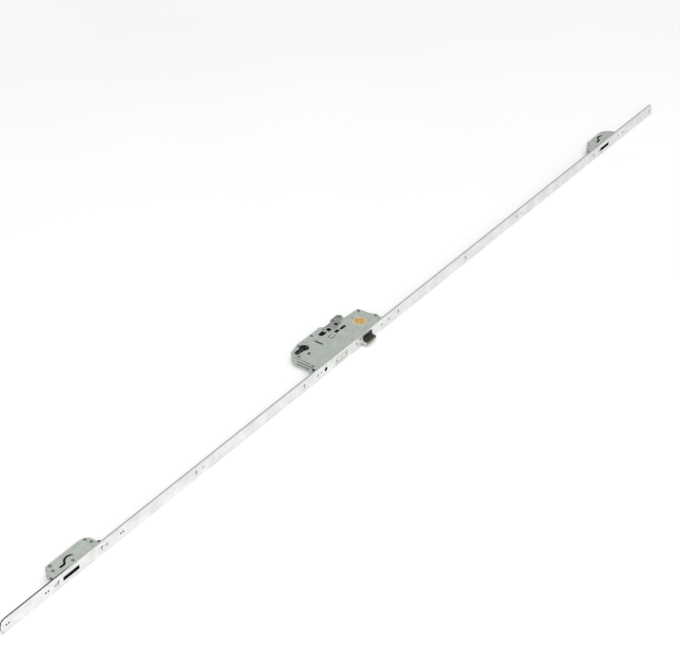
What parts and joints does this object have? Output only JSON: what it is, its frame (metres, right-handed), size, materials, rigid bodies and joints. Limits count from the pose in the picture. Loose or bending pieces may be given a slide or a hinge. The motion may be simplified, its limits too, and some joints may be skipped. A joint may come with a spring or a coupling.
{
  "type": "multipoint door lock",
  "caption": "Long mortice door lock with a flat faceplate, a central case with latch, deadbolt and follower, and hook bolts near both ends driven by rods.",
  "frame": {"origin": "centre of the follower's square hole, at the middle of the case's thickness", "axes": "+X along the faceplate towards the top of the door, +Y from the faceplate into the door, +Z along the follower's axis"},
  "size_m": [1.948, 0.0851, 0.024],
  "materials": {
    "faceplate_steel": "silver zinc-plated rolled steel, satin",
    "screw_steel": "bright zinc-plated turned steel",
    "rivet_steel": "pressed steel rivet heads, dull",
    "case_sheet": "green-grey passivated zinc-plated sheet steel",
    "dark_sheet": "dark phosphated sheet steel",
    "cast_zinc": "die-cast zinc, as cast",
    "black_plastic": "moulded black glass-filled nylon",
    "spring_steel": "drawn spring wire",
    "bolt_steel": "nickel-plated steel, satin",
    "dark_steel": "hardened steel pin, dark",
    "slide_steel": "zinc-plated stamped steel",
    "amber_label": "printed paper sticker, amber"
  },
  "bodies": {
    "lock_case": {"case_screws": "screw_steel", "cassette_rivets": "rivet_steel", "detent_posts": "screw_steel", "detent_spring": "spring_steel", "faceplate": "faceplate_steel", "follower_cassette": "dark_sheet", "follower_spring": "spring_steel", "gear_axle": "screw_steel", "latch_guide": "case_sheet", "latch_spring": "spring_steel", "lower_hook_cover": "case_sheet", "lower_hook_pivot": "screw_steel", "lower_hook_rivets": "rivet_steel", "lower_hook_tray": "case_sheet", "main_case_cover": "case_sheet", "main_case_rivets": "rivet_steel", "main_case_tray": "case_sheet", "rod_studs": "screw_steel", "round_label": "amber_label", "slide_studs": "screw_steel", "upper_hook_cover": "case_sheet", "upper_hook_pivot": "screw_steel", "upper_hook_rivets": "rivet_steel", "upper_hook_tray": "case_sheet"},
    "follower": {"follower": "cast_zinc"},
    "pusher": {"spring_pusher": "black_plastic"},
    "latch": {"latch_head": "bolt_steel", "latch_insert": "black_plastic", "latch_tail": "slide_steel", "latch_rod": "screw_steel"},
    "deadbolt": {"deadbolt": "bolt_steel", "deadbolt_saw_pins": "dark_steel", "deadbolt_tail": "slide_steel", "deadbolt_guide_pin": "screw_steel"},
    "drive": {"drive_slide": "slide_steel", "drive_pin": "screw_steel", "lower_rod": "slide_steel", "upper_rod": "slide_steel", "rod_rivets": "rivet_steel", "lower_hook_slide": "slide_steel", "upper_hook_slide": "slide_steel"},
    "gear": {"drive_gear": "slide_steel"},
    "lower_hook": {"lower_hook": "dark_steel", "lower_hook_pin": "screw_steel"},
    "upper_hook": {"upper_hook": "dark_steel", "upper_hook_pin": "screw_steel"}
  },
  "joints": [
    {"name": "follower_turn", "type": "hinge", "parent": "lock_case", "child": "follower", "pos_m": [0, 0, 0], "axis": [0, 0, 1], "range_deg": [0, 48.01]},
    {"name": "pusher_slide", "type": "slide", "parent": "lock_case", "child": "pusher", "axis": [1, 0, 0], "range_m": [0, 0.01139], "deforming": ["follower_spring"]},
    {"name": "latch_slide", "type": "slide", "parent": "lock_case", "child": "latch", "axis": [0, 1, 0], "range_m": [0, 0.0105], "stiffness_N_per_m": 250, "springref_m": -0.004, "deforming": ["latch_spring"]},
    {"name": "rods_slide", "type": "slide", "parent": "lock_case", "child": "drive", "axis": [-1, 0, 0], "range_m": [0, 0.018], "deforming": ["detent_spring"]},
    {"name": "deadbolt_throw", "type": "slide", "parent": "lock_case", "child": "deadbolt", "axis": [0, -1, 0], "range_m": [0, 0.016]},
    {"name": "gear_turn", "type": "hinge", "parent": "lock_case", "child": "gear", "pos_m": [-0.0455, 0, 0], "axis": [0, 0, -1], "range_deg": [0, 91.67]},
    {"name": "lower_hook_swing", "type": "hinge", "parent": "lock_case", "child": "lower_hook", "pos_m": [-0.7094, -0.0497, 0], "axis": [0, 0, 1], "range_deg": [0, 92.01]},
    {"name": "upper_hook_swing", "type": "hinge", "parent": "lock_case", "child": "upper_hook", "pos_m": [0.8881, -0.0497, 0], "axis": [0, 0, 1], "range_deg": [0, 92.01]}
  ],
  "couplings": [
    {"joint": "follower_turn", "follows": "latch_slide", "rad_per_m": 79.786},
    {"joint": "pusher_slide", "follows": "latch_slide", "ratio": 1.0846},
    {"joint": "deadbolt_throw", "follows": "rods_slide", "ratio": 0.88889},
    {"joint": "gear_turn", "follows": "rods_slide", "rad_per_m": 88.889},
    {"joint": "lower_hook_swing", "follows": "rods_slide", "rad_per_m": 89.206},
    {"joint": "upper_hook_swing", "follows": "rods_slide", "rad_per_m": 89.206}
  ]
}
